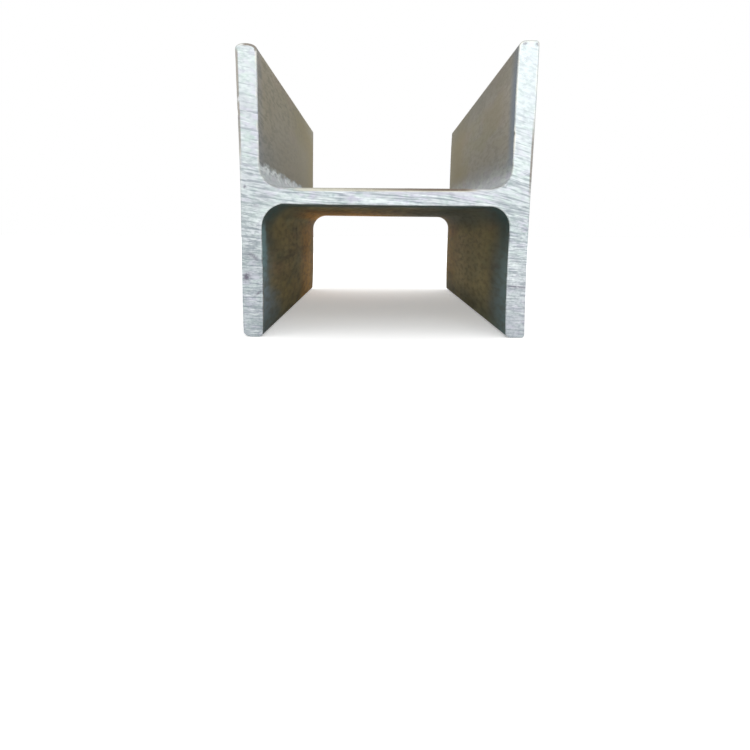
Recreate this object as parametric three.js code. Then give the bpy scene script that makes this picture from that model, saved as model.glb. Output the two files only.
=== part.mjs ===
// Short length of hot-rolled wide-flange H-beam (100 x 100 nominal), sawn square at both ends.
// Millimetres, +Z up. The beam stands on the toes of its flanges with the web level:
// X runs across the flanges, Y along the beam, and the origin is under its middle, on the floor.

import * as THREE from "three";

// Driving dimensions. The rolls leave a real section a little off its nominal sizes.
const sectionDepth = 101; // over the outer faces of the two flanges, 100 nominal
const flangeWidth = 99; // toe to toe, 100 nominal
const webThickness = 6;
const flangeThickness = 7.3; // 8 nominal
const rootRadius = 7; // fillet between the web and each flange
const toeRadius = 1.5; // rolled rounding on every flange toe corner
const beamLength = 200; // between the two sawn ends
const arcFacets = 16; // straight facets in each quarter arc, an even number

const quarterTurn = Math.PI / 2;

// One corner of the section, as a quarter arc about (x, y) that starts at startAngle.
// Outside corners run anticlockwise with the outline, and the root fillets run against it.
function addToeCorner(section, x, y, startAngle) {
  section.absarc(x, y, toeRadius, startAngle, startAngle + quarterTurn, false);
}

function addRootFillet(section, x, y, startAngle) {
  section.absarc(x, y, rootRadius, startAngle, startAngle - quarterTurn, true);
}

// The section as the rolls leave it: two parallel-sided flanges joined by a central web.
// It is centred on the web, x across the flanges and y from toe to toe.
function makeSection() {
  const outerFace = sectionDepth / 2;
  const innerFace = outerFace - flangeThickness;
  const toe = flangeWidth / 2;
  const webFace = webThickness / 2;

  const outerArcX = outerFace - toeRadius;
  const innerArcX = innerFace + toeRadius;
  const toeArcY = toe - toeRadius;
  const rootArcX = innerFace - rootRadius;
  const rootArcY = webFace + rootRadius;

  const section = new THREE.Shape();

  // right-hand flange, up its outer face and over the upper toe
  addToeCorner(section, outerArcX, -toeArcY, -quarterTurn);
  addToeCorner(section, outerArcX, toeArcY, 0);
  addToeCorner(section, innerArcX, toeArcY, quarterTurn);

  // upper channel, along the top of the web
  addRootFillet(section, rootArcX, rootArcY, 0);
  addRootFillet(section, -rootArcX, rootArcY, -quarterTurn);

  // left-hand flange, over the upper toe and down its outer face
  addToeCorner(section, -innerArcX, toeArcY, 0);
  addToeCorner(section, -outerArcX, toeArcY, quarterTurn);
  addToeCorner(section, -outerArcX, -toeArcY, 2 * quarterTurn);
  addToeCorner(section, -innerArcX, -toeArcY, 3 * quarterTurn);

  // lower channel, back along the underside of the web
  addRootFillet(section, -rootArcX, -rootArcY, 2 * quarterTurn);
  addRootFillet(section, rootArcX, -rootArcY, quarterTurn);

  addToeCorner(section, innerArcX, -toeArcY, 2 * quarterTurn);
  section.closePath();
  return section;
}

// Bright sawn steel and thin grey mill scale, seen together as a satin grey
const rolledSteel = new THREE.MeshStandardMaterial({
  color: 0x9b9c98,
  roughness: 0.48,
  metalness: 0.85,
});

const beamGeometry = new THREE.ExtrudeGeometry(makeSection(), {
  depth: beamLength,
  bevelEnabled: false,
  curveSegments: arcFacets / 2, // three.js cuts an arc into twice this many
});

// The extrusion is laid down so that the section's y points up and its length runs along Y.
const beam = new THREE.Mesh(beamGeometry, rolledSteel);
beam.name = "h_beam";
beam.rotation.x = quarterTurn;
beam.position.set(0, beamLength / 2, flangeWidth / 2);

const model = new THREE.Group();
model.add(beam);

export default model;
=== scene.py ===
# Short sawn length of hot-rolled H-beam, standing on the toes of its flanges.
from math import radians
import bmesh
import bpy
import numpy as np
from mathutils import Euler, Matrix, Vector


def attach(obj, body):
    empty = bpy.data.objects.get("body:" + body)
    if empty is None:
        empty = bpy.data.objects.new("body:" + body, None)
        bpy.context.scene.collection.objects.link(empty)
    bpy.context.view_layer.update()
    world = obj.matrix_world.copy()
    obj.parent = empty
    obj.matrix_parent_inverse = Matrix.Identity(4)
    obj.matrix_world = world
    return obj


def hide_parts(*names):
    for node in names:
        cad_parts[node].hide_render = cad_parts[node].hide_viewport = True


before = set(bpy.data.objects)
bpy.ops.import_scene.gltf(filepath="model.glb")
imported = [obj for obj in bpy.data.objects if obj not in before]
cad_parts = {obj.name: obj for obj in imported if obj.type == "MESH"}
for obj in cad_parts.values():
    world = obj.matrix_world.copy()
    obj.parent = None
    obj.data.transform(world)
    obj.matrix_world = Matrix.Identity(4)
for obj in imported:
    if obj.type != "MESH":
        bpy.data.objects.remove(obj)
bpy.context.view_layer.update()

scene = bpy.context.scene
scene.view_settings.view_transform = "Standard"
mm = 0.001  # lengths below are in millimetres and are turned to metres once, in the mesh

# camera
cameraSettings = {
    "eye": (-0.0033, -0.3366, 0.03783),
    "pitch": 12.316,  # degrees below the horizon
    "yaw": 0.031,
    "roll": 0.25,
    "lens": 31.94,
    "sensor": 36,
    "clipStart": 0.01,
}


def makeCamera(settings):
    data = bpy.data.cameras.new("camera")
    data.lens = settings["lens"]
    data.sensor_width = settings["sensor"]
    data.clip_start = settings["clipStart"]
    camera = bpy.data.objects.new("camera", data)
    scene.collection.objects.link(camera)
    aim = Euler((radians(90 - settings["pitch"]), 0, radians(-settings["yaw"])))
    tilt = Matrix.Rotation(radians(settings["roll"]), 4, "Z")
    camera.matrix_world = Matrix.Translation(settings["eye"]) @ aim.to_matrix().to_4x4() @ tilt
    scene.camera = camera


makeCamera(cameraSettings)
print("camera placed")


# Smooth random field between -1 and 1: random values on a lattice, one for each cell of
# the given spacing (mm, one number or one for each axis), blended with eased weights.
def softNoise(points, spacing, seed):
    period = 64  # cells, after which the lattice repeats
    values = np.random.default_rng(seed).uniform(-1, 1, (period, period, period))
    place = points / np.asarray(spacing, float)
    cell = np.floor(place).astype(int)
    part = place - cell
    part = part * part * (3 - 2 * part)
    total = np.zeros(points.shape[:-1])
    for corner in np.ndindex(2, 2, 2):
        weight = np.prod(np.where(corner, part, 1 - part), axis=-1)
        index = (cell + corner) % period
        total += weight * values[index[..., 0], index[..., 1], index[..., 2]]
    return total


# the rolled beam
beam = {
    "length": 200.0,
    "toe": 49.0,  # from the middle of the section to the plane the lower toes stand on
    "outerFace": 50.0,  # from the middle of the web, before the rolls' own errors below
    "innerFace": 43.0,
    "webHalf": 2.93,
    "roots": {-1: (8.3, 7.0), 1: (7.0, 7.0)},  # fillets of each side, under and over the web
    # toe corners, each a quarter ellipse (width, height): lower outer, lower inner,
    # upper outer, upper inner
    "leftToes": ((3.2, 1.9), (1.4, 1.5), (2.7, 1.75), (3.5, 1.8)),
    "rightToes": ((1.1, 1.0), (2.3, 1.5), (1.0, 1.1), (2.3, 1.9)),
    # how far to the right the rolls left each face, at these heights up the flange
    "faceHeights": (-49, -30, -12, 12, 30, 49),
    "faceShifts": {
        -50: (-0.5, -0.39, 0.05, 0.28, 0.26, 0.23),
        -43: (-0.57, 0.08, 0.33, 0.03, 0.38, 0.51),
        43: (0.65, 0.22, 0.2, 0.41, 0.3, 0.7),
        50: (0.5, 0.23, -0.1, 0.45, 0.4, 0.5),
    },
    "shiftDegree": 4,  # of the smooth curve through those shifts
    "widest": 50.47,  # no face stands further out than this
    "backLean": 0.5,  # how far the inner faces lean to the right at the back, over the toe height
    "webPlaces": (-43, 0, 43),  # across the section, where the web is this much too high
    "webTopLift": (0.0, -0.08, -0.17),
    "webUnderLift": (0.34, -0.05, -0.3),
    "webLiftFades": (8, 42),  # heights above and below the web between which that is lost
    "toeLift": {-1: (-0.35, 0.35), 1: (0.85, -0.1)},  # upper toes, at the front and back end
    "toeLiftStart": 10,  # height from which it grows
    "toeLiftAcross": (30, 43),  # it comes in between these places
    "hollows": (0.05, 0.04, (40, 70, 40)),  # mean depth, swing and spacing across, along and up
    "ripples": (0.02, 0.02, (4, 45, 4)),
    "inwardStep": 0.4,  # the section is redrawn this far in, to find which way is inward
    "edgeBreak": 0.3,  # width of the broken edge round each sawn end
    "edgeRag": 0.45,  # share by which that width swings, and the spacing of its swings
    "ragSpacing": 1.3,
    "knockOnEnd": 0.6,  # share of a knock's depth that also sinks the sawn face
    "scaleEdge": 45,  # under the web, the faces nearer the middle than this have thick scale
    "sharpAngle": 32,  # degrees
    "mergeGrid": 1e4,  # points in the same cell of this many to the mm become one
    "arcRows": 8,  # rows of cells round each toe corner, down to the root, and past the web
    "straightRows": 86,
    "webRows": 40,
    "filletColumns": 10,
    "webColumns": 80,
    # columns of a flange, as shares of the way from its inner face to its outer one
    "across": (0, 0.05, 0.12, 0.2, 0.29, 0.38, 0.46, 0.54, 0.62, 0.71, 0.8, 0.88, 0.95, 1),
    "nearEnds": (0.9, 1.8, 3, 4.6, 6.6, 9),  # first stations from each end
    "stations": 52,
    "sawFall": (0.07, 0.00065, 0.000027),  # drop of the saw marks with x, x squared and x cubed
    "sawLevels": (-26, 2, 0.2),  # the drop grows between these heights, from this share of it
    "webMarks": (35, 42),  # the web's saw marks give way to the flanges' between these places
    "sawDepth": 0.06,  # mean depth of the saw marks
    # length, width and depth of the marks over the flanges, and over the web
    "sawMarks": ((5, 1.05, 0.022), (20, 0.8, 0.017)),
    # how much longer, wider and deeper the broad marks are than the fine ones
    "broadMarks": (1.6, 1.8, 1.15),
}


# Rises from 0 at the low value to 1 at the high one, as three t squared less two t cubed.
def easeIn(value, low, high):
    t = np.clip((value - low) / (high - low), 0, 1)
    return t * t * (3 - 2 * t)


# How far one face of a flange is set back, and its height, row by row from the toe to the
# root: a quarter ellipse round the toe corner, then straight down to where the root begins.
def toeToRoot(corner, root, inset):
    width, height = corner[0] - inset, corner[1] - inset
    toe = beam["toe"] - inset
    turn = np.linspace(np.pi / 2, 0, beam["arcRows"] + 1)
    rootHeight = beam["webHalf"] + root
    steps = np.linspace(0, 1, beam["straightRows"] + 1)[1:]
    straight = (toe - height) + (rootHeight - toe + height) * steps
    setback = np.concatenate([width * (1 - np.cos(turn)), 0 * steps])
    return setback, np.concatenate([toe - height * (1 - np.sin(turn)), straight])


# One whole face, from the lower toe to the upper one, through the rows that meet the web.
def faceRows(lowCorner, topCorner, roots, inset):
    lowBack, lowHeight = toeToRoot(lowCorner, roots[0], inset)
    topBack, topHeight = toeToRoot(topCorner, roots[1], inset)
    middle = np.linspace(-lowHeight[-1], topHeight[-1], beam["webRows"] + 1)[1:-1]
    setback = np.concatenate([lowBack, 0 * middle, topBack[::-1]])
    return setback, np.concatenate([-lowHeight, middle, topHeight[::-1]])


# One flange, ruled straight across from its inner face to its outer one. Side is -1 or 1.
def flangeGrid(side, toes, inset):
    roots = beam["roots"][side]
    outerBack, outerHeight = faceRows(toes[0], toes[2], roots, inset)
    innerBack, innerHeight = faceRows(toes[1], toes[3], roots, inset)
    outer = np.stack([beam["outerFace"] - inset - outerBack, outerHeight], axis=-1)
    inner = np.stack([beam["innerFace"] + inset + innerBack, innerHeight], axis=-1)
    t = np.array(beam["across"])[None, :, None]
    grid = inner[:, None] * (1 - t) + outer[:, None] * t
    return grid if side > 0 else grid[:, ::-1] * (-1, 1)


# The line of one web face from the left flange to the right one: a quarter circle down
# from the flange, straight across, and a quarter circle up. Over is 1 for the upper face.
def webFace(over, inset):
    turn = np.linspace(0, np.pi / 2, beam["filletColumns"] + 1)
    left, right = [beam["roots"][side][over > 0] + inset for side in (-1, 1)]
    edge, top = beam["innerFace"] + inset, beam["webHalf"] - inset
    leftX, rightX = [edge - r * (1 - np.cos(turn)) for r in (left, right)]
    leftZ, rightZ = [top + r * (1 - np.sin(turn)) for r in (left, right)]
    middle = np.linspace(-leftX[-1], rightX[-1], beam["webColumns"] + 1)[1:-1]
    x = np.concatenate([-leftX, middle, rightX[::-1]])
    z = np.concatenate([leftZ, 0 * middle + top, rightZ[::-1]])
    return np.stack([x, over * z], axis=-1)


# The web with its four fillets, ruled straight up from its lower face to its upper one.
def webGrid(inset):
    t = np.linspace(0, 1, beam["webRows"] + 1)[:, None, None]
    return webFace(-1, inset) * (1 - t) + webFace(1, inset) * t


# The section drawn in by the inset, as left flange, web and right flange.
def sectionGrids(inset):
    return [
        flangeGrid(-1, beam["leftToes"], inset),
        webGrid(inset),
        flangeGrid(1, beam["rightToes"], inset),
    ]


# The same section as one list of points.
def sectionPoints(inset):
    return np.concatenate([grid.reshape(-1, 2) for grid in sectionGrids(inset)])


# The edge of the section, walked once round through the three grids of point numbers.
def walkOutline(left, web, right):
    low = beam["arcRows"] + beam["straightRows"]
    top = low + beam["webRows"]
    return np.concatenate([
        right[:-1, -1], right[-1, :0:-1], right[:top:-1, 0], web[-1, :0:-1],
        left[top:-1, -1], left[-1, :0:-1], left[:0:-1, 0], left[0, :-1],
        left[:low, -1], web[0, :-1], right[low:0:-1, 0], right[0, :-1],
    ])


# Four corners of every cell of a grid of point numbers; wrap joins the last column to the first.
def gridQuads(numbers, wrap=False):
    if wrap:
        numbers = np.concatenate([numbers, numbers[:, :1]], axis=1)
    corners = [numbers[:-1, :-1], numbers[:-1, 1:], numbers[1:, 1:], numbers[1:, :-1]]
    return np.stack(corners, axis=-1).reshape(-1, 4)


# Height of the saw mark that passes through a point: marks fall to the right, by a cubic in
# x, and run almost level towards the lower toes.
def sawHeight(x, z):
    slope, bow, twist = beam["sawFall"]
    low, high, least = beam["sawLevels"]
    share = least + (1 - least) * easeIn(z, low, high)
    return z + x * (slope + x * (bow + x * twist)) * share


# Depth of the saw marks under the sawn face: the mean depth and two bands of noise, narrow
# down the section and drawn out across it, far longer over the web than on the flanges.
def sawRelief(points, seed):
    across, up = points[:, 0], points[:, 1]
    marks = np.stack([across, sawHeight(across, up), 0 * across], -1)
    near, far = beam["webMarks"]
    overWeb = easeIn(-np.abs(across), -far, -near)
    longer, wider, deeper = beam["broadMarks"]
    total = beam["sawDepth"]
    for (length, width, depth), share in zip(beam["sawMarks"], (1 - overWeb, overWeb)):
        broad = softNoise(marks, (length * longer, width * wider, 1), seed)
        fine = softNoise(marks, (length, width, 1), seed + 1)
        total = total + share * depth * (deeper * broad + fine)
    return total


# How far the rolled faces lie under the true section: long hollows, and slight ripples
# drawn out along the rolling direction, each a mean depth and soft noise times its swing.
def rolledDepth(points):
    total = 0
    for (depth, swing, spacing), seed in ((beam["hollows"], 11), (beam["ripples"], 12)):
        total = total + (depth + swing * softNoise(points, spacing, seed))
    return total


knocks = [  # place across, along and up the section, reach, depth
    (-43.6, -99.9, -33.4, 0.7, 0.15),
    (-50.0, -99.9, 27.0, 0.9, 0.14),
    (50.4, -99.9, -24.0, 0.8, 0.12),
    (43.4, -99.9, 20.0, 0.8, 0.15),
    (-36.0, -99.9, -3.0, 1.0, 0.15),
    (47.0, 99.9, 49.0, 1.4, 0.4),
    (-50.0, 99.9, -20.0, 1.2, 0.35),
    (50.3, 30.0, 48.6, 1.6, 0.3),
    (-50.0, -35.0, -48.6, 1.8, 0.3),
]


# Small rounded dents along the edges: a bell curve round each place.
def knockDepth(points):
    total = np.zeros(len(points))
    for x, y, z, reach, depth in knocks:
        gap = points - (x, y, z)
        total += depth * np.exp(-np.sum(gap * gap, axis=1) / reach**2)
    return total


# The section as rolled: each face a little off its place, by a smooth curve through the
# given heights, the inner faces leaning a little more towards the back, the web not quite
# level nor even, and the upper toes not quite one height.
def skewSection(x, along, z):
    faces = sorted(beam["faceShifts"])
    fit = np.polynomial.Polynomial.fit
    curves = [fit(beam["faceHeights"], beam["faceShifts"][face], beam["shiftDegree"])
              for face in faces]
    shifts = np.stack([curve(z) for curve in curves], axis=-1)
    slot = np.interp(x, faces, range(len(faces)))
    left = np.minimum(slot.astype(int), len(faces) - 2)
    part = slot - left
    row = np.arange(len(x))
    across = shifts[row, left] * (1 - part) + shifts[row, left + 1] * part
    back = 0.5 + 0.5 * along / (beam["length"] / 2)
    inner = easeIn(-np.abs(x), -beam["outerFace"], -beam["innerFace"])
    across += beam["backLean"] * back * z / beam["toe"] * inner

    overWeb = np.clip(0.5 + 0.5 * z / beam["webHalf"], 0, 1)
    top = np.interp(x, beam["webPlaces"], beam["webTopLift"])
    under = np.interp(x, beam["webPlaces"], beam["webUnderLift"])
    fades = easeIn(np.abs(z), *beam["webLiftFades"])
    lift = (under * (1 - overWeb) + top * overWeb) * (1 - fades)
    start = beam["toeLiftStart"]
    upwards = np.clip((z - start) / (beam["toe"] - start), 0, 1)
    for side, (frontLift, backLift) in beam["toeLift"].items():
        share = easeIn(side * x, *beam["toeLiftAcross"]) * upwards
        lift = lift + share * (frontLift * (1 - back) + backLift * back)
    return np.clip(x + across, -beam["widest"], beam["widest"]), z + lift


# Where the broken edge kept a thin line of rust: the outer edges of the flanges, the top of
# the left one, and the top edge of the web. Each is a strength times the eases that bring
# it in and take it out, across and up the section.
def rustyEdge(x, z):
    left = 0.6 * easeIn(-x, 47, 48) * easeIn(z, 10, 19) * easeIn(-z, -48, -46)
    right = 0.7 * easeIn(x, 48, 49) * easeIn(z, -2, 8) * easeIn(-z, -28, -15)
    web = easeIn(z, 1, 2) * easeIn(-z, -8, -6) * easeIn(x, -26, 20) * easeIn(-x, -33, -26)
    leftToe = 0.8 * easeIn(-x, 41, 42) * easeIn(x, -48, -46.5) * easeIn(z, 46, 47)
    return np.maximum(np.maximum(left, right), np.maximum(web, leftToe))


stains = [  # place across and up the sawn end, half width, half height, lean, strength
    (-48.6, -27.6, 1.2, 1.4, 0.2, 1.2),
    (-47.2, -20.2, 2.0, 0.8, -0.15, 0.42),
    (-45.4, -21.1, 1.2, 0.6, -0.8, 0.65),
    (-44.1, -33.2, 1.2, 0.5, 0.7, 1.0),
    (46.8, -30.7, 6.0, 0.3, -0.08, 1.1),
    (49.6, 47.8, 0.7, 0.6, 0, 1.0),
    (44.8, 48.1, 0.6, 0.5, 0, 1.3),
    (-48.6, 3.1, 0.5, 0.45, 0, 1.3),
    (40.5, 4.1, 0.6, 0.5, 0, 1.0),
    (-44.8, -3.5, 1.6, 0.4, -0.3, 0.5),
    (48.2, -3.0, 1.3, 0.4, -0.3, 0.5),
    (46.5, -22.0, 0.4, 0.4, 0, 0.5),
]


# Small grey smudges on the sawn end: a bell curve round each place, sheared by its lean.
def stainAmount(x, z):
    total = 0 * x
    for placeX, placeZ, halfWidth, halfHeight, lean, strength in stains:
        across = (x - placeX) / halfWidth
        up = (z - placeZ - lean * (x - placeX)) / halfHeight
        total = total + strength * np.exp(-across**2 - up**2)
    return total


# Distance from each point of the sawn face to the nearest point of the section's edge.
def edgeGap(points, outline):
    square = np.sum(points**2, axis=1)[:, None] + np.sum(outline**2, axis=1)
    return np.sqrt(np.maximum(square - 2 * points @ outline.T, 0).min(axis=1))


# The whole beam as one closed skin: a cap on each sawn end, and between them a barrel of
# rings, each the edge of the section set at its place along the beam.
def makeBeam():
    grids = sectionGrids(0)
    sizes = [grid.shape[0] * grid.shape[1] for grid in grids]
    starts = np.concatenate([[0], np.cumsum(sizes)[:-1]])
    numbers = [start + np.arange(size).reshape(grid.shape[:2])
               for start, size, grid in zip(starts, sizes, grids)]
    edge = walkOutline(*numbers)
    capQuads = np.concatenate([gridQuads(grid) for grid in numbers])

    true = sectionPoints(0)
    drawnIn = sectionPoints(beam["edgeBreak"])
    inward = (sectionPoints(beam["inwardStep"]) - true) / beam["inwardStep"]
    half = beam["length"] / 2
    everyPoint = np.arange(len(true))
    rust = rustyEdge(true[:, 0], true[:, 1])
    stain = stainAmount(true[:, 0], true[:, 1])

    # one ring or cap: base points, drawn inwards, at the given place along the beam
    def placed(base, along, push, pick):
        reference = np.stack([true[pick, 0], np.full(len(pick), along), true[pick, 1]], -1)
        depth = rolledDepth(reference) + knockDepth(reference)
        flat = base[pick] + inward[pick] * depth[:, None]
        x, z = skewSection(flat[:, 0], along, flat[:, 1])
        return np.stack([x, along + push + 0 * x, z + beam["toe"]], -1)

    # relief of each sawn end, and the ragged line where its broken edge meets the rolled face
    relief, breakLine = {}, {}
    for end, seed in ((-1, 21), (1, 31)):
        reference = np.stack([true[:, 0], np.full(len(true), end * half), true[:, 1]], -1)
        relief[end] = sawRelief(true, seed) + beam["knockOnEnd"] * knockDepth(reference)
        rag = 1 + beam["edgeRag"] * softNoise(reference, beam["ragSpacing"], seed + 5)
        breakLine[end] = relief[end] + beam["edgeBreak"] * rag

    # rings along the barrel: base points, place, and push along the beam
    near = [half - gap for gap in beam["nearEnds"]]
    inner = np.linspace(-near[-1], near[-1], beam["stations"] + 2)[1:-1]
    rings = [(drawnIn, -half, relief[-1][edge]), (true, -half, breakLine[-1][edge])]
    rings += [(true, -place, 0) for place in near] + [(true, place, 0) for place in inner]
    rings += [(true, place, 0) for place in near[::-1]]
    rings += [(true, half, -breakLine[1][edge]), (drawnIn, half, -relief[1][edge])]

    blocks = [placed(drawnIn, end * half, -end * relief[end], everyPoint) for end in (-1, 1)]
    blocks += [placed(base, place, push, edge) for base, place, push in rings]
    points = np.concatenate(blocks)
    gap = edgeGap(drawnIn, true[edge])
    ringGaps = [gap[edge]] + [0 * gap[edge]] * (len(rings) - 2) + [gap[edge]]
    traits = {
        "edgeGap": np.concatenate([gap, gap] + ringGaps),
        "edgeRust": np.concatenate([rust, rust] + [rust[edge]] * len(rings)),
        "stain": np.concatenate([stain, 0 * stain] + [0 * rust[edge]] * len(rings)),
    }

    barrel = 2 * len(true) + np.arange(len(rings) * len(edge)).reshape(len(rings), len(edge))
    quads = np.concatenate([capQuads, capQuads + len(true), gridQuads(barrel, wrap=True)])
    ring = np.repeat(np.arange(len(rings) - 1), len(edge))
    rolled = (ring > 0) & (ring < len(rings) - 2)
    middle = (true[edge] + true[np.roll(edge, -1)]) / 2
    underWeb = (np.abs(middle[:, 0]) < beam["scaleEdge"]) & (middle[:, 1] < 0)
    kind = rolled * (1 + np.tile(underWeb, len(rings) - 1))
    kinds = np.concatenate([np.zeros(2 * len(capQuads), int), kind])

    # points that fall on each other become one
    keys = np.round(points * beam["mergeGrid"]).astype(np.int64)
    _, first, back = np.unique(keys, axis=0, return_index=True, return_inverse=True)
    points, quads = points[first], back.reshape(-1)[quads]

    mesh = bpy.data.meshes.new("rolledBeam")
    mesh.from_pydata((points * mm).tolist(), [], quads.tolist())
    mesh.polygons.foreach_set("material_index", kinds.astype(np.int32))
    mesh.polygons.foreach_set("use_smooth", np.ones(len(quads), bool))
    for name, values in traits.items():
        layer = mesh.attributes.new(name, "FLOAT", "POINT")
        layer.data.foreach_set("value", values[first].astype(np.float32))
    shell = bmesh.new()
    shell.from_mesh(mesh)
    bmesh.ops.recalc_face_normals(shell, faces=shell.faces)
    shell.to_mesh(mesh)
    shell.free()
    mesh.set_sharp_from_angle(angle=radians(beam["sharpAngle"]))
    mesh.update()
    print("beam:", len(mesh.vertices), "points,", 2 * len(mesh.polygons), "triangles")
    return mesh


beamObject = bpy.data.objects.new("rolledBeam", makeBeam())
scene.collection.objects.link(beamObject)
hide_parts("h_beam")
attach(beamObject, "root")
print("beam made")


# materials, whose places are in millimetres: x across from the middle, minus on the left, y
# along from -100 at the front end to 100 at the back, and z up from the floor
def toLinear(hexColour):
    parts = [int(hexColour[i:i + 2], 16) / 255 for i in (0, 2, 4)]
    return [c / 12.92 if c <= 0.04045 else ((c + 0.055) / 1.055) ** 2.4 for c in parts] + [1]


# Adds a node, sets its properties, and fills or links its inputs by name or number.
def addNode(tree, kind, settings=(), inputs=()):
    node = tree.nodes.new(kind)
    for name, value in dict(settings).items():
        setattr(node, name, value)
    for key, value in dict(inputs).items():
        if isinstance(value, bpy.types.NodeSocket):
            tree.links.new(value, node.inputs[key])
        else:
            node.inputs[key].default_value = value
    return node


def startMaterial(name):
    material = bpy.data.materials.new(name)
    material.use_nodes = True
    tree = material.node_tree
    tree.nodes.clear()
    coords = addNode(tree, "ShaderNodeTexCoord")
    inMm = addNode(tree, "ShaderNodeMapping", {},
                   {0: coords.outputs["Object"], "Scale": (1 / mm,) * 3})
    return material, tree, inMm.outputs[0]


# The result of one operation on one, two or three numbers.
def calc(tree, operation, *numbers):
    node = addNode(tree, "ShaderNodeMath", {"operation": operation}, enumerate(numbers))
    return node.outputs[0]


# A level that eases from the start to the end while the value goes from low to high.
def eased(tree, value, low, high, start=0.0, end=1.0):
    node = addNode(tree, "ShaderNodeMapRange", {"interpolation_type": "SMOOTHSTEP"},
                   {0: value, 1: low, 2: high, 3: start, 4: end})
    return node.outputs[0]


# Patches of noise with so many cells to the millimetre along each axis: none where the
# noise is below the first level, the full amount above the second.
def patches(tree, place, cells, low, high, amount=1.0, detail=2.0, shift=0.0):
    spread = addNode(tree, "ShaderNodeMapping", {},
                     {0: place, "Scale": cells, "Location": (shift,) * 3})
    noise = addNode(tree, "ShaderNodeTexNoise", {},
                    {0: spread.outputs[0], "Scale": 1.0, "Detail": detail})
    return eased(tree, noise.outputs[0], low, high, 0.0, amount)


# All its parts multiplied together. A part is a mask, or a value with the level where the
# mask is nothing, the level where it is whole, and if needed how strong the whole is.
def together(tree, *parts):
    total = 1.0
    for part in parts:
        if isinstance(part, tuple):
            value, nothing, whole, *strength = part
            part = eased(tree, value, nothing, whole, 0.0, *strength)
        total = calc(tree, "MULTIPLY", total, part)
    return total


# Paints each tint in turn over the colour, as strongly as its mask says.
def painted(tree, colour, layers):
    for mask, tint in layers:
        tint = toLinear(tint) if isinstance(tint, str) else tint
        mix = addNode(tree, "ShaderNodeMix", {"data_type": "RGBA"}, {0: mask, 6: colour, 7: tint})
        colour = mix.outputs[2]
    return colour


# Relief too fine for the mesh, from a mask that says how high each point is.
def fineRelief(tree, height, sunk=False):
    bump = addNode(tree, "ShaderNodeBump", {"invert": sunk},
                   {"Strength": 0.3, "Distance": 0.1 * mm, "Height": height})
    return bump.outputs[0]


# Low-carbon steel cut by a bandsaw: bright bare metal, combed with fine ridges by the
# teeth, which spread the light up and down. The marks run right across the flanges, thin
# and well apart near the top and close set lower down, and are longest over the web,
# where the blade was cutting along the metal.
sawnSteel = {
    "land": "BCC4C6",
    "grain": "9EAAAD",
    "groove": "7A8389",
    "glint": "DEE5E3",
    "haze": "ADADB6",
    "lilac": "BCB4C9",
    "sage": "AEC3B8",
    "highlightWash": "BCC4C6",
    "lip": "DFE6E6",
    "cream": "D4D1C7",
    "olive": "B7B5A6",
    "rust": "695B4D",
    "smudge": "6A6873",
    "roughness": 0.42,
    "grainRoughness": 0.15,  # what the dull grain adds to it
}


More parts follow.
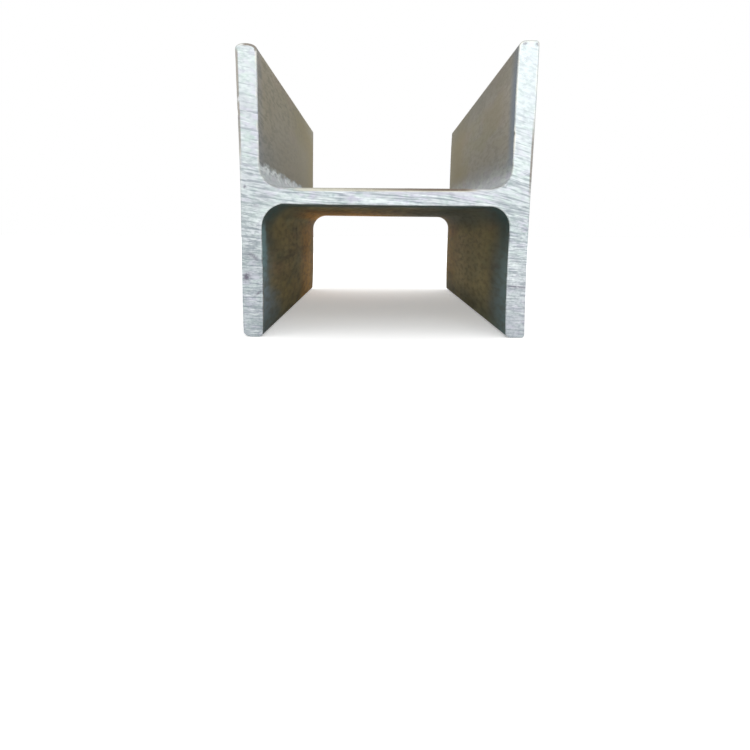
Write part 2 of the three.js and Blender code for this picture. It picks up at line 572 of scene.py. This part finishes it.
def makeSawnSteel():
    look = sawnSteel
    material, tree, place = startMaterial("sawnSteel")
    x, y, z = addNode(tree, "ShaderNodeSeparateXYZ", {}, {0: place}).outputs
    # the height of the saw mark through each point, as in sawHeight
    slope, bow, twist = beam["sawFall"]
    drop = twist
    for term in (bow, slope, 0.0):
        drop = calc(tree, "MULTIPLY_ADD", x, drop, term)
    lowest, highest, least = beam["sawLevels"]
    fall = eased(tree, z, lowest + beam["toe"], highest + beam["toe"], least)
    level = calc(tree, "MULTIPLY_ADD", drop, fall, z)
    combed = addNode(tree, "ShaderNodeCombineXYZ", {}, {0: x, 1: y, 2: level}).outputs[0]
    aside = calc(tree, "ABSOLUTE", x)
    near, far = beam["webMarks"]
    overWeb = (aside, far, near)
    overFlange = (aside, near, far)
    onLeft = (x, 20, -20)  # whole over the left part, and gone towards the right
    onRight = (x, 0, 40)
    low = (z, 52, 36)

    # marks right across a flange, thin and well apart near the top and close set lower down
    lines = patches(tree, combed, (0.06, 0.3, 1.05), 0.54, 0.66, 0.55, 2.0)
    fine = patches(tree, combed, (0.9, 0.3, 1.5), 0.48, 0.62, 0.36, 2.0, 8.9)
    bands = patches(tree, combed, (0.05, 0.3, 0.24), 0.46, 0.6, 0.3, 1.0, 11.7)
    lowLines = patches(tree, combed, (0.17, 0.3, 2.4), 0.47, 0.59, 0.68, 2.5, 5.3)
    joint = patches(tree, combed, (0.12, 0.3, 1.3), 0.5, 0.6, 0.6, 2.0, 6.3)
    grain = patches(tree, combed, (0.5, 0.3, 0.95), 0.4, 0.68, 0.8, 2.0, 9.1)
    glints = patches(tree, combed, (0.3, 0.3, 1.5), 0.56, 0.74, 0.5, 2.0, 3.7)
    streaks = patches(tree, combed, (0.08, 0.3, 1.95), 0.48, 0.62, 0.72, 2.5, 1.9)
    webGlints = patches(tree, combed, (0.09, 0.3, 1.8), 0.51, 0.65, 0.55, 2.5, 7.7)
    haze = patches(tree, place, (0.14, 0.1, 0.16), 0.45, 0.65, 0.45, 2.0, 2.2)
    lilac = patches(tree, combed, (0.22, 0.1, 0.45), 0.48, 0.64, 0.4, 2.0, 16.1)
    sage = patches(tree, combed, (0.22, 0.1, 0.45), 0.48, 0.64, 0.4, 2.0, 20.8)
    colour = painted(tree, toLinear(look["land"]), [
        (grain, look["grain"]),
        (haze, look["haze"]),
        (lilac, look["lilac"]),
        (sage, look["sage"]),
        # duller and more lilac towards the lower toes, a painted shade with a lilac tint, and
        # brighter beside the web, in bands on the lower flanges and up the flanges, painted
        # highlights
        (together(tree, (z, 38, 25), (x, 20, -40, 0.12)), look["grain"]),
        (together(tree, (z, 34, 46), (z, 76, 60, 0.22), (aside, 32, 42)), look["glint"]),
        (together(tree, (z, 40, 10), (*onRight, 0.45)), look["haze"]),
        (together(tree, (z, 36, 14), (x, 20, -40, 0.25)), look["haze"]),
        (together(tree, (z, 49, 42), (z, 14, 32), (x, 20, -40, 0.3)), look["glint"]),
        (together(tree, (z, 62, 86), (x, 0, -40, 0.25)), look["glint"]),
        (together(tree, (z, 55, 75), (*onRight, 0.15)), look["glint"]),
        (together(tree, (z, 36, 30), (z, 4, 20), (*onRight, 0.24)), look["glint"]),
        # the marks of the teeth
        (together(tree, lines, overFlange, (z, 130, 60)), look["groove"]),
        (together(tree, bands, overFlange, low, (x, 60, -10)), look["groove"]),
        (together(tree, lowLines, overFlange, low, (x, 400, -20), (z, -25, 28)), look["groove"]),
        (together(tree, fine, overFlange, low), look["groove"]),
        (together(tree, joint, overFlange, (z, 38, 44), (z, 66, 56)), look["groove"]),
        (together(tree, glints, overFlange), look["glint"]),
        (together(tree, streaks, overWeb), look["groove"]),
        (together(tree, webGlints, overWeb), look["glint"]),
        # they fade out up the right flange, washed out by a painted highlight, and the web's top
        # edge is dull in the middle
        (together(tree, (*onRight, 0.75), (z, 55, 90)), look["highlightWash"]),
        (together(tree, (z, 49.3, 49.9), (x, -12, 6, 0.7), (x, 40, 30)), look["haze"]),
    ])

    # the broken edge: a pale line where it is clean, partly a painted highlight where it catches
    # the light, with a brown one outside it where it has rusted
    gap = addNode(tree, "ShaderNodeAttribute", {"attribute_name": "edgeGap"}).outputs["Fac"]
    rusty = addNode(tree, "ShaderNodeAttribute", {"attribute_name": "edgeRust"}).outputs["Fac"]
    stain = addNode(tree, "ShaderNodeAttribute", {"attribute_name": "stain"}).outputs["Fac"]
    uneven = patches(tree, place, (0.3, 0.3, 0.2), 0.3, 0.7, 1.0, 3.0, 4.4)
    ragged = patches(tree, place, (1.4, 1.4, 1.4), 0.22, 0.5, 1.0, 2.0, 6.1)
    broken = patches(tree, place, (0.35, 0.35, 0.25), 0.25, 0.42, 1.0, 3.0, 1.4)
    rust = together(tree, rusty, broken, (gap, 0.95, 0.65))
    bare = calc(tree, "SUBTRACT", 1.0, rust)
    colour = painted(tree, colour, [
        (together(tree, stain, ragged), look["smudge"]),
        (together(tree, uneven, (gap, 0.85, 0.35), (z, 40, 64, 0.75)), look["cream"]),
        # the top of the left toe, a painted highlight
        (together(tree, (z, 96.4, 97.6, 0.6), onLeft), look["cream"]),
        # a pale lip along the lower inner edges, a painted highlight
        (together(tree, uneven, (gap, 0.9, 0.3), (aside, 44.5, 43.5), (z, 49, 48),
                  (z, -20, 44, 0.35)), look["lip"]),
        (together(tree, (gap, 1.5, 1.0), (z, 50.3, 50.9), (aside, 34, 27, 0.9)), look["olive"]),
        (rust, look["rust"]),
    ])
    rough = calc(tree, "MULTIPLY_ADD", grain, look["grainRoughness"], look["roughness"])
    shader = addNode(tree, "ShaderNodeBsdfPrincipled", {}, {
        "Base Color": colour, "Metallic": bare, "Roughness": rough,
        "Normal": fineRelief(tree, lines, sunk=True)})
    addNode(tree, "ShaderNodeOutputMaterial", {}, {0: shader.outputs[0]})
    return material


# Hot-rolled mill scale: a thin blue-grey oxide skin left by the rolls, smooth and satin on
# the open faces, in soft clouds drawn out along the rolling, with small pale specks where
# it has flaked and a brown bloom of rust. It is duller and browner on the walls over the
# web, and browner still towards their back, which is a painted reflection of warm
# surroundings behind.
millScale = {
    "scale": "616565",
    "scalePale": "757877",
    "bloom": "6E6349",
    "dim": "625F56",
    "fleck": "A7ADAB",
    "wall": "8D8577",
    "wallPale": "999487",
    "wallDim": "737064",
    "wallBrown": "877B62",
    "wallPink": "98867A",
    "wallOlive": "8C8766",
    "wallFrontLight": "757E89",
    "wallBackReflection": "8E8260",
    "wallGoldReflection": "857953",
    "fillet": "75878B",
    "filletDim": "636B70",
    "filletPale": "D3DCDB",
    "filletLilac": "837F92",
    "filletGreen": "8B998F",
    "roughness": 0.4,
    "wallRoughness": 0.73,
    "mottleRoughness": 0.1,  # what the mottling adds to it
    "specular": 0.2,
}


def makeMillScale():
    look = millScale
    material, tree, place = startMaterial("millScale")
    x, y, z = addNode(tree, "ShaderNodeSeparateXYZ", {}, {0: place}).outputs
    aside = calc(tree, "ABSOLUTE", x)
    onLeft = (x, 20, -20)  # whole over the left part, and gone towards the right
    onRight = (x, 0, 40)
    inside = together(tree, (aside, 45.5, 44.5))
    # the walls over the web end at a ragged line on the left, and fade out on the right
    tattered = patches(tree, place, (0.45, 0.07, 0.45), 0.25, 0.75, 1.6, 3.0, 2.2)
    tide = calc(tree, "ADD", z, tattered)
    crisp = together(tree, inside, (aside, 41.6, 42.4), (tide, 60.0, 61.8), onLeft)
    soft = together(tree, inside, (tide, 54.5, 69), (x, -20, 20))
    wall = calc(tree, "MAXIMUM", crisp, soft)

    # the open faces: blue-grey scale with a brown bloom
    drawn = patches(tree, place, (0.1, 0.012, 0.1), 0.35, 0.65, 0.6, 3.0)
    clouds = patches(tree, place, (0.03, 0.015, 0.03), 0.35, 0.65, 0.9, 3.0, 7.1)
    mottle = patches(tree, place, (0.5, 0.3, 0.5), 0.42, 0.66, 0.5, 3.0, 3.3)
    specks = patches(tree, place, (0.9, 0.7, 0.9), 0.7, 0.76, 0.4, 2.0, 1.1)
    openColour = painted(tree, toLinear(look["scale"]), [
        (drawn, look["scalePale"]),
        (clouds, look["bloom"]),
        (mottle, look["dim"]),
        (specks, look["fleck"]),
    ])

    # the walls over the web, greyer at the front and browner towards the back, where patches of
    # brown bloom give way to a painted reflection of warm surroundings behind
    worn = patches(tree, place, (0.7, 0.11, 0.7), 0.42, 0.66, 0.9, 4.0, 21.7)
    pinkish = patches(tree, place, (0.07, 0.012, 0.07), 0.5, 0.62, 0.4, 3.0, 12.3)
    yellowish = patches(tree, place, (0.06, 0.01, 0.06), 0.5, 0.62, 0.45, 3.0, 14.1)
    wallColour = painted(tree, toLinear(look["wall"]), [
        (drawn, look["wallPale"]),
        (together(tree, clouds, (y, -110, 60, 0.4)), look["wallBrown"]),
        (together(tree, (y, -95, 100, 0.85)), look["wallBackReflection"]),
        # paler and evener on the right, a painted light where the lamp falls less on that wall,
        # worn on the left, with stains that go along the wall
        (together(tree, (*onRight, 0.75)), look["wallPale"]),
        (together(tree, worn, (x, 90, -10)), look["wallDim"]),
        (together(tree, pinkish, (y, -95, -60)), look["wallPink"]),
        (together(tree, yellowish, (y, -95, -60)), look["wallOlive"]),
        (together(tree, (*onLeft, 0.25), (y, -98, -85)), look["wallOlive"]),
        # golden towards the back, a painted reflection of warm surroundings behind
        (together(tree, (y, 0, 75), (x, -140, 45)), look["wallGoldReflection"]),
        (together(tree, (y, -20, 40), (*onLeft, 0.4)), look["wallGoldReflection"]),
        # a cool edge at the front, and cooler and darker low on the left wall near the front, both
        # painted cool light falling in from the front; darker along the toes and near the back
        (together(tree, (y, -86, -98), (x, -75, 30)), look["wallFrontLight"]),
        (together(tree, (y, -20, -90), (z, 78, 62), (*onLeft, 0.35)), look["wallFrontLight"]),
        (together(tree, (y, -88, -50), (y, 95, 40, 0.42), (z, 90, 76), onLeft), look["wallPale"]),
        (together(tree, (z, 84, 97), (*onRight, 0.55)), look["wallDim"]),
        (together(tree, (y, 40, 95), (z, 54, 62), (*onRight, 0.4)), look["wallDim"]),
        (together(tree, (y, 93, 98, 0.45)), look["dim"]),
    ])

    # the fillets over the web kept more of the blue-grey skin, partly painted cool light from
    # above, and are flaked along their upper edge, where the pale patches, stronger towards the
    # front, are partly a painted highlight
    fillet = together(tree, inside, (z, 52.2, 54))
    comesAndGoes = patches(tree, place, (0.05, 0.05, 0.05), 0.3, 0.5, 1.0, 2.0, 4.9)
    freckles = patches(tree, place, (0.7, 0.13, 0.7), 0.4, 0.64, 0.85, 3.0, 8.2)
    flaked = patches(tree, place, (0.7, 0.15, 0.7), 0.36, 0.6, 0.75, 3.0, 3.9)
    lilac = patches(tree, place, (0.3, 0.07, 0.3), 0.5, 0.6, 0.5, 3.0, 15.2)
    verdant = patches(tree, place, (0.3, 0.07, 0.3), 0.5, 0.6, 0.5, 3.0, 17.9)
    filletColour = painted(tree, toLinear(look["fillet"]), [
        (freckles, look["filletDim"]),
        (together(tree, (x, -40, 20, 0.95)), look["filletDim"]),
        (together(tree, (z, 58, 54.5), (*onLeft, 0.6)), look["filletDim"]),
        (lilac, look["filletLilac"]),
        (verdant, look["filletGreen"]),
        (together(tree, flaked, comesAndGoes, (tide, 57, 60), (x, 60, -20), (y, 35, -60)),
         look["filletPale"]),
    ])
    colour = painted(tree, openColour, [(fillet, filletColour), (wall, wallColour)])

    smooth = addNode(tree, "ShaderNodeMapRange", {}, {
        0: wall, 1: 0.0, 2: 1.0, 3: look["roughness"], 4: look["wallRoughness"]})
    rough = calc(tree, "MULTIPLY_ADD", mottle, look["mottleRoughness"], smooth.outputs[0])
    pebble = patches(tree, place, (1.1, 0.8, 1.1), 0.2, 0.8, 1.0, 4.0, 9.9)
    shader = addNode(tree, "ShaderNodeBsdfPrincipled", {}, {
        "Base Color": colour, "Roughness": rough, "Specular IOR Level": look["specular"],
        "Normal": fineRelief(tree, pebble)})
    addNode(tree, "ShaderNodeOutputMaterial", {}, {0: shader.outputs[0]})
    return material


# Rusted scale: the same skin in the sheltered channel under the web, where damp stays. A
# crust of dry rust covers it, greyer and darker towards the front, a painted shade, and
# browner at the back, a painted reflection of warm surroundings behind.
rustedScale = {
    "crust": "A09060",
    "frontShade": "606058",
    "backReflection": "806840",
    "frontLight": "7C8987",
    "red": "957258",
    "green": "77795C",
    "dusk": "645F4A",
    "scratch": "534B3B",
    "corner": "4A5855",
    "ochre": "D1C699",
    "gold": "C49246",
    "teal": "779194",
    "tealFar": "5E7574",
    "paintedShade": "304947",
    "slate": "606F84",
    "roughness": 0.84,
    "duskRoughness": 0.15,  # what the dark patches add to it
    "specular": 0.05,
}


def makeRustedScale():
    look = rustedScale
    material, tree, place = startMaterial("rustedScale")
    x, y, z = addNode(tree, "ShaderNodeSeparateXYZ", {}, {0: place}).outputs
    aside = calc(tree, "ABSOLUTE", x)
    onLeft = (x, 20, -20)  # whole over the left part, and gone towards the right
    onRight = (x, 0, 40)
    # how far in from the front, wandering a little, so that no finish ends in a straight line
    wander = patches(tree, place, (0.07, 0.012, 0.07), 0.2, 0.8, 24.0, 3.0, 5.5)
    inward = calc(tree, "ADD", y, wander)
    near = together(tree, (y, -98, -80))
    mix = addNode(tree, "ShaderNodeMix", {"data_type": "FLOAT"}, {0: near, 2: y, 3: inward})
    along = mix.outputs[0]
    # a painted pool of cool light on the flanges just inside the front, reaching further in
    # near the toes, where the light from in front falls in under the web
    reach = eased(tree, z, 0.0, 22.0, 35.0, 0.0)
    fray = patches(tree, place, (0.3, 0.06, 0.3), 0.2, 0.8, 11.0, 4.0, 13.7)
    frayed = calc(tree, "ADD", along, fray)
    coolPlace = calc(tree, "SUBTRACT", frayed, reach)
    frontLight = together(tree, (coolPlace, -52, -94), (y, -99, -97.5), (aside, 41, 42.4),
                    (z, 40, 26), (z, -15, 25), (x, 90, -40))

    wellIn = (y, -94, -70)
    reddish = patches(tree, place, (0.1, 0.016, 0.1), 0.5, 0.62, 0.5, 4.0, 2.7)
    greenish = patches(tree, place, (0.08, 0.014, 0.08), 0.5, 0.62, 0.5, 4.0, 6.6)
    dusky = patches(tree, place, (0.09, 0.012, 0.09), 0.5, 0.66, 0.5, 4.0, 4.2)
    scratches = patches(tree, place, (0.4, 0.02, 0.4), 0.58, 0.7, 0.3, 2.0, 0.6)
    grit = patches(tree, place, (0.5, 0.085, 0.5), 0.4, 0.7, 0.4, 4.0, 19.4)
    torn = patches(tree, place, (0.25, 0.035, 0.6), 0.3, 0.7, 1.0, 4.0, 11.1)
    colour = painted(tree, toLinear(look["crust"]), [
        # painted shade, darker and greyer towards the front, and a painted reflection, browner
        # towards the back
        (together(tree, (along, -20, -95)), look["frontShade"]),
        (together(tree, (along, 50, 105)), look["backReflection"]),
        (together(tree, reddish, (y, -90, -60), (z, 12, 28), (x, 140, -40)), look["red"]),
        (together(tree, greenish, wellIn), look["green"]),
        (together(tree, dusky, wellIn), look["dusk"]),
        (together(tree, scratches, wellIn, (z, 41, 36)), look["scratch"]),
        # yellower half way in and golden at the back, partly rust and partly a painted reflection
        # of warm surroundings behind
        (together(tree, (*onRight, 0.52), (y, -75, -30), (y, 60, 20)), look["ochre"]),
        (together(tree, (x, 0, -40, 0.22), (y, -65, -30), (y, 60, 20), (z, 12, 24)), look["ochre"]),
        (together(tree, (x, 0, -40, 0.5), (y, 10, 50), (y, 96, 70), (z, 46, 34)), look["gold"]),
        (together(tree, (x, 24, -20), (z, 42, 45), (y, -70, 30, 0.9)), look["gold"]),
        # painted shade in the left root, and two torn scratches on the left wall
        (together(tree, (x, -26, -38, 0.4), (z, 41, 44), (y, 40, -40)), look["paintedShade"]),
        (together(tree, torn, (*onLeft, 0.6), (y, 0, 5), (y, 12, 7), (z, 24, 31), (z, 42, 38)),
         look["scratch"]),
        (together(tree, torn, (*onLeft, 0.5), (y, -70, -50), (y, 12, -5), (z, 22, 26), (z, 30, 27)),
         look["scratch"]),
        # painted shade in the right root, painted cool light that is bluer towards the front and
        # the toes, and painted shade under the web near the front and along the toes
        (together(tree, (x, -4, 30, 0.75), (z, 36, 44), (y, 140, 40)), look["corner"]),
        (together(tree, (*onRight, 0.8), (y, -55, -97), (z, 45, 20)), look["tealFar"]),
        (frontLight, look["frontLight"]),
        (together(tree, frontLight, (z, 30, 5, 0.55)), look["slate"]),
        (together(tree, (frayed, -71, -85), (*onLeft, 0.85), (z, 15, 28), (z, 43, 37)),
         look["teal"]),
        (together(tree, (z, 27, 34), (y, -66, -80), (y, -94, -86), (*onLeft, 0.32)), look["paintedShade"]),
        (together(tree, (z, 37, 42), (y, -55, -88), (*onLeft, 0.6)), look["paintedShade"]),
        (together(tree, (z, 24, 40), (y, -68, -92), (x, -20, 20, 0.62)), look["paintedShade"]),
        (together(tree, (z, 12, 3, 0.4), (y, 40, -50), (x, 60, -40)), look["paintedShade"]),
        (together(tree, (z, 14, 3, 0.5), (x, -20, 20), (y, -90, -40)), look["paintedShade"]),
        (grit, look["scratch"]),
    ])

    rough = calc(tree, "MULTIPLY_ADD", dusky, look["duskRoughness"], look["roughness"])
    pebble = patches(tree, place, (1.1, 0.8, 1.1), 0.2, 0.8, 1.0, 4.0, 9.9)
    shader = addNode(tree, "ShaderNodeBsdfPrincipled", {}, {
        "Base Color": colour, "Roughness": rough, "Specular IOR Level": look["specular"],
        "Normal": fineRelief(tree, pebble)})
    addNode(tree, "ShaderNodeOutputMaterial", {}, {0: shader.outputs[0]})
    return material


beamObject.data.materials.append(makeSawnSteel())
beamObject.data.materials.append(makeMillScale())
beamObject.data.materials.append(makeRustedScale())
print("materials made")


# floor, backdrop and light
studio = {
    "floorSize": 6,
    "floorBounce": "F4F4F4",  # what the floor gives back to the beam
    "floorWhite": 0.95,  # how the floor looks, with a glow that takes it up to plain white
    "floorGlow": 0.35,
    "world": 1.0,
    # each lamp's place, what it points at, its size and its power in watts
    "key": ((0.07, -0.6, 0.3), (0, -0.05, 0.05), 0.35, 0.8),
    "back": ((0, 0.75, 0.12), (0, 0.1, 0.05), 1.0, 2.8),
}


# Whole for what the camera sees, directly, mirrored or through glass, and nothing for the
# light that lands on the beam.
def seenDirectly(tree):
    path = addNode(tree, "ShaderNodeLightPath")
    seen = calc(tree, "MAXIMUM", path.outputs["Is Camera Ray"], path.outputs["Is Glossy Ray"])
    return calc(tree, "MAXIMUM", seen, path.outputs["Is Transmission Ray"])


def makeFloor():
    mesh = bpy.data.meshes.new("floor")
    s = studio["floorSize"] / 2
    mesh.from_pydata([(-s, -s, 0), (s, -s, 0), (s, s, 0), (-s, s, 0)], [], [(0, 1, 2, 3)])
    floor = bpy.data.objects.new("floor", mesh)
    scene.collection.objects.link(floor)
    material = bpy.data.materials.new("paleFloor")
    material.use_nodes = True
    tree = material.node_tree
    tree.nodes.clear()
    lit = addNode(tree, "ShaderNodeBsdfDiffuse", {}, {"Color": toLinear(studio["floorBounce"])})
    pale = studio["floorWhite"]
    white = addNode(tree, "ShaderNodeBsdfDiffuse", {}, {"Color": (pale, pale, pale, 1)})
    glow = addNode(tree, "ShaderNodeEmission", {},
                   {"Color": (1, 1, 1, 1), "Strength": studio["floorGlow"]})
    shown = addNode(tree, "ShaderNodeAddShader", {}, {0: white.outputs[0], 1: glow.outputs[0]})
    both = addNode(tree, "ShaderNodeMixShader", {},
                   {0: seenDirectly(tree), 1: lit.outputs[0], 2: shown.outputs[0]})
    addNode(tree, "ShaderNodeOutputMaterial", {}, {"Surface": both.outputs[0]})
    mesh.materials.append(material)


def makeWorld():
    world = bpy.data.worlds.new("world")
    scene.world = world
    world.use_nodes = True
    tree = world.node_tree
    tree.nodes.clear()
    strength = addNode(tree, "ShaderNodeMapRange", {},
                       {0: seenDirectly(tree), 1: 0.0, 2: 1.0, 3: studio["world"], 4: 1.0})
    sky = addNode(tree, "ShaderNodeBackground", {},
                  {"Color": (1, 1, 1, 1), "Strength": strength.outputs[0]})
    addNode(tree, "ShaderNodeOutputWorld", {}, {"Surface": sky.outputs[0]})


def makeLamp(name, place, aim, size, power):
    data = bpy.data.lights.new(name, "AREA")
    data.shape = "SQUARE"
    data.size = size
    data.energy = power
    lamp = bpy.data.objects.new(name, data)
    scene.collection.objects.link(lamp)
    lamp.location = place
    lamp.rotation_euler = (Vector(aim) - Vector(place)).to_track_quat("-Z", "Y").to_euler()
    lamp.visible_camera = False


makeFloor()
makeWorld()
makeLamp("key", *studio["key"])
makeLamp("back", *studio["back"])
print("studio made")
